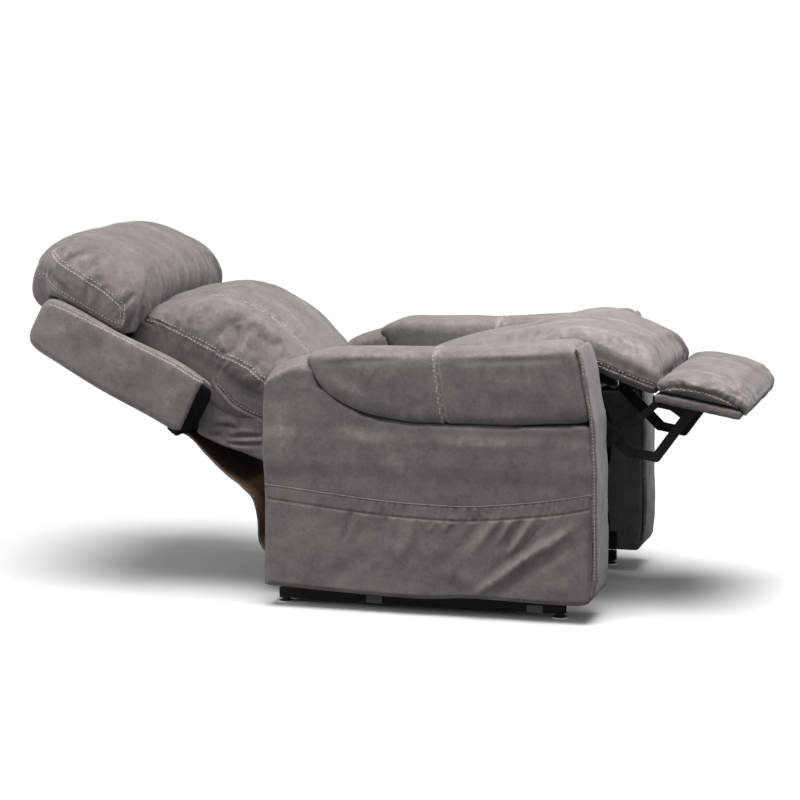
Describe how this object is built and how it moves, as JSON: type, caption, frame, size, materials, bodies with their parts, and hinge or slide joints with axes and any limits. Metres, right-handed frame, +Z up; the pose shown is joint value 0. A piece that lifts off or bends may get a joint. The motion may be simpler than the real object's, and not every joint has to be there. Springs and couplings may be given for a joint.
{
  "type": "lift recliner chair",
  "caption": "Powered lift recliner chair with padded arms, pillow back, linked leg rest and steel lift frame, shown lying back with the leg rest out.",
  "frame": {"origin": "centre of the overall box on the floor, under the glides, in the lying pose", "axes": "+Z up, -Y the way the sitter faces, +X to the left of the sitter"},
  "size_m": [0.8292, 1.885, 0.9133],
  "materials": {
    "suede": "matte",
    "backing_cloth": "matte",
    "webbing": "matte",
    "timber": "matte",
    "black_steel": "satin",
    "bright_steel": "satin",
    "zinc": "satin",
    "black_plastic": "matte",
    "grey_plastic": "matte",
    "glide_plastic": "satin"
  },
  "bodies": {
    "base": {"base_side_rails": "black_steel", "base_cross_tubes": "black_steel", "base_pivot_brackets": "black_steel", "base_anchor_plates": "zinc", "floor_glides": "glide_plastic"},
    "lift_front": {"lift_front_links": "black_steel", "lift_torque_tube": "black_steel"},
    "lift_rear": {"lift_rear_links": "black_steel"},
    "lift_motor": {"lift_motor": "black_plastic"},
    "lift_rod": {"lift_rod": "bright_steel"},
    "chassis": {"chassis_side_rails": "black_steel", "chassis_cross_tubes": "black_steel", "mechanism_side_plates": "black_steel", "control_box": "black_plastic", "arm_right": "suede", "arm_left": "suede", "arm_pad_right": "suede", "arm_pad_left": "suede", "pocket_right": "suede", "pocket_left": "suede", "handset_body": "black_plastic"},
    "seat": {"seat_side_rails": "black_steel", "seat_cross_tubes": "black_steel", "seat_side_boards": "timber", "seat_end_boards": "timber", "seat_webbing": "webbing", "seat_cushion": "suede"},
    "legrest": {"footrest_board": "timber", "footrest_brackets": "black_steel", "foot_pad": "suede", "chaise_pad": "suede"},
    "legrest_main_arms": {"legrest_main_arms": "black_steel", "legrest_torque_tube": "black_steel"},
    "legrest_bent_links": {"legrest_bent_links": "black_steel"},
    "legrest_rear_arms": {"legrest_rear_arms": "black_steel"},
    "legrest_thin_links": {"legrest_thin_links": "black_steel"},
    "legrest_motor": {"legrest_motor": "black_plastic"},
    "legrest_rod": {"legrest_rod": "bright_steel"},
    "back": {"back_brackets": "black_steel", "back_pivot_tube": "black_steel", "back_posts": "timber", "back_cross_rails": "timber", "back_panel": "suede", "wing_right": "suede", "wing_left": "suede", "lumbar_cushion": "suede", "head_pillow": "suede", "back_lower_cover": "suede", "back_flap": "backing_cloth"},
    "tilt_links": {"tilt_links": "black_steel"},
    "recline_motor": {"recline_motor": "black_plastic"},
    "recline_rod": {"recline_rod": "bright_steel"},
    "button_raise": {"button_raise": "grey_plastic"},
    "button_lower": {"button_lower": "grey_plastic"},
    "button_back_up": {"button_back_up": "grey_plastic"},
    "button_back_down": {"button_back_down": "grey_plastic"},
    "button_legs_up": {"button_legs_up": "grey_plastic"},
    "button_legs_down": {"button_legs_down": "grey_plastic"}
  },
  "joints": [
    {"name": "lift", "type": "hinge", "parent": "base", "child": "lift_front", "pos_m": [0, -0.426, 0.062], "axis": [1, 0, 0], "range_deg": [0, 50]},
    {"name": "chassis_tilt", "type": "hinge", "parent": "lift_front", "child": "chassis", "pos_m": [0, -0.0469, 0.0885], "axis": [1, 0, 0], "range_deg": [-28, 0]},
    {"name": "lift_rear", "type": "hinge", "parent": "base", "child": "lift_rear", "pos_m": [0, -0.3611, 0.0701], "axis": [1, 0, 0], "range_deg": [0, 44.27]},
    {"name": "lift_motor_pivot", "type": "hinge", "parent": "chassis", "child": "lift_motor", "pos_m": [0, 0.114, 0.16], "axis": [1, 0, 0], "range_deg": [0, 14.32]},
    {"name": "lift_rod_travel", "type": "slide", "parent": "lift_motor", "child": "lift_rod", "axis": [0, -0.876, 0.4822], "range_m": [0, 0.06134]},
    {"name": "recline", "type": "hinge", "parent": "chassis", "child": "back", "pos_m": [0, 0.194, 0.385], "axis": [1, 0, 0], "range_deg": [0, 48], "deforming": ["back_flap"]},
    {"name": "seat_tilt", "type": "hinge", "parent": "chassis", "child": "seat", "pos_m": [0, 0.154, 0.33], "axis": [1, 0, 0], "range_deg": [0, 18]},
    {"name": "tilt_link_pivot", "type": "hinge", "parent": "back", "child": "tilt_links", "pos_m": [0, 0.2393, 0.4061], "axis": [1, 0, 0], "range_deg": [-28.86, 0]},
    {"name": "recline_motor_pivot", "type": "hinge", "parent": "chassis", "child": "recline_motor", "pos_m": [0, -0.206, 0.14], "axis": [1, 0, 0], "range_deg": [0, 2.2]},
    {"name": "recline_rod_travel", "type": "slide", "parent": "recline_motor", "child": "recline_rod", "axis": [0, 0.9034, 0.4288], "range_m": [0, 0.03608]},
    {"name": "legrest", "type": "hinge", "parent": "seat", "child": "legrest", "pos_m": [0, -0.646, 0.704], "axis": [1, 0, 0], "range_deg": [0, 62], "deforming": ["chaise_pad"]},
    {"name": "main_arm_pivot", "type": "hinge", "parent": "seat", "child": "legrest_main_arms", "pos_m": [0, -0.496, 0.558], "axis": [1, 0, 0], "range_deg": [0, 68.72]},
    {"name": "bent_link_pivot", "type": "hinge", "parent": "legrest_main_arms", "child": "legrest_bent_links", "pos_m": [0, -0.654, 0.402], "axis": [1, 0, 0], "range_deg": [-73.98, 0]},
    {"name": "rear_arm_pivot", "type": "hinge", "parent": "seat", "child": "legrest_rear_arms", "pos_m": [0, -0.456, 0.535], "axis": [1, 0, 0], "range_deg": [0, 62.5]},
    {"name": "thin_link_pivot", "type": "hinge", "parent": "legrest_rear_arms", "child": "legrest_thin_links", "pos_m": [0, -0.5283, 0.3579], "axis": [1, 0, 0], "range_deg": [-63.32, 0]},
    {"name": "legrest_motor_pivot", "type": "hinge", "parent": "seat", "child": "legrest_motor", "pos_m": [0, -0.066, 0.3415], "axis": [1, 0, 0], "range_deg": [0, 2.01]},
    {"name": "legrest_rod_travel", "type": "slide", "parent": "legrest_motor", "child": "legrest_rod", "axis": [0, -0.9275, 0.3738], "range_m": [-0.06552, 0]},
    {"name": "press_raise", "type": "slide", "parent": "chassis", "child": "button_raise", "axis": [-1, 0, 0], "range_m": [0, 0.0012], "stiffness_N_per_m": 300, "springref_m": -0.0006},
    {"name": "press_lower", "type": "slide", "parent": "chassis", "child": "button_lower", "axis": [-1, 0, 0], "range_m": [0, 0.0012], "stiffness_N_per_m": 300, "springref_m": -0.0006},
    {"name": "press_back_up", "type": "slide", "parent": "chassis", "child": "button_back_up", "axis": [-1, 0, 0], "range_m": [0, 0.0012], "stiffness_N_per_m": 300, "springref_m": -0.0006},
    {"name": "press_back_down", "type": "slide", "parent": "chassis", "child": "button_back_down", "axis": [-1, 0, 0], "range_m": [0, 0.0012], "stiffness_N_per_m": 300, "springref_m": -0.0006},
    {"name": "press_legs_up", "type": "slide", "parent": "chassis", "child": "button_legs_up", "axis": [-1, 0, 0], "range_m": [0, 0.0012], "stiffness_N_per_m": 300, "springref_m": -0.0006},
    {"name": "press_legs_down", "type": "slide", "parent": "chassis", "child": "button_legs_down", "axis": [-1, 0, 0], "range_m": [0, 0.0012], "stiffness_N_per_m": 300, "springref_m": -0.0006}
  ],
  "couplings": [
    {"joint": "chassis_tilt", "follows": "lift", "ratio": -0.56},
    {"joint": "lift_rear", "follows": "lift", "ratio": 0.88542},
    {"joint": "lift_motor_pivot", "follows": "lift", "ratio": 0.28636},
    {"joint": "lift_rod_travel", "follows": "lift", "m_per_rad": 0.070286},
    {"joint": "seat_tilt", "follows": "recline", "ratio": 0.375},
    {"joint": "tilt_link_pivot", "follows": "recline", "ratio": -0.60134},
    {"joint": "recline_motor_pivot", "follows": "recline", "ratio": 0.045912},
    {"joint": "recline_rod_travel", "follows": "recline", "m_per_rad": 0.043068},
    {"joint": "main_arm_pivot", "follows": "legrest", "ratio": 1.1083},
    {"joint": "bent_link_pivot", "follows": "legrest", "ratio": -1.1931},
    {"joint": "rear_arm_pivot", "follows": "legrest", "ratio": 1.0081},
    {"joint": "thin_link_pivot", "follows": "legrest", "ratio": -1.0212},
    {"joint": "legrest_motor_pivot", "follows": "legrest", "ratio": 0.032358},
    {"joint": "legrest_rod_travel", "follows": "legrest", "m_per_rad": -0.06055}
  ]
}
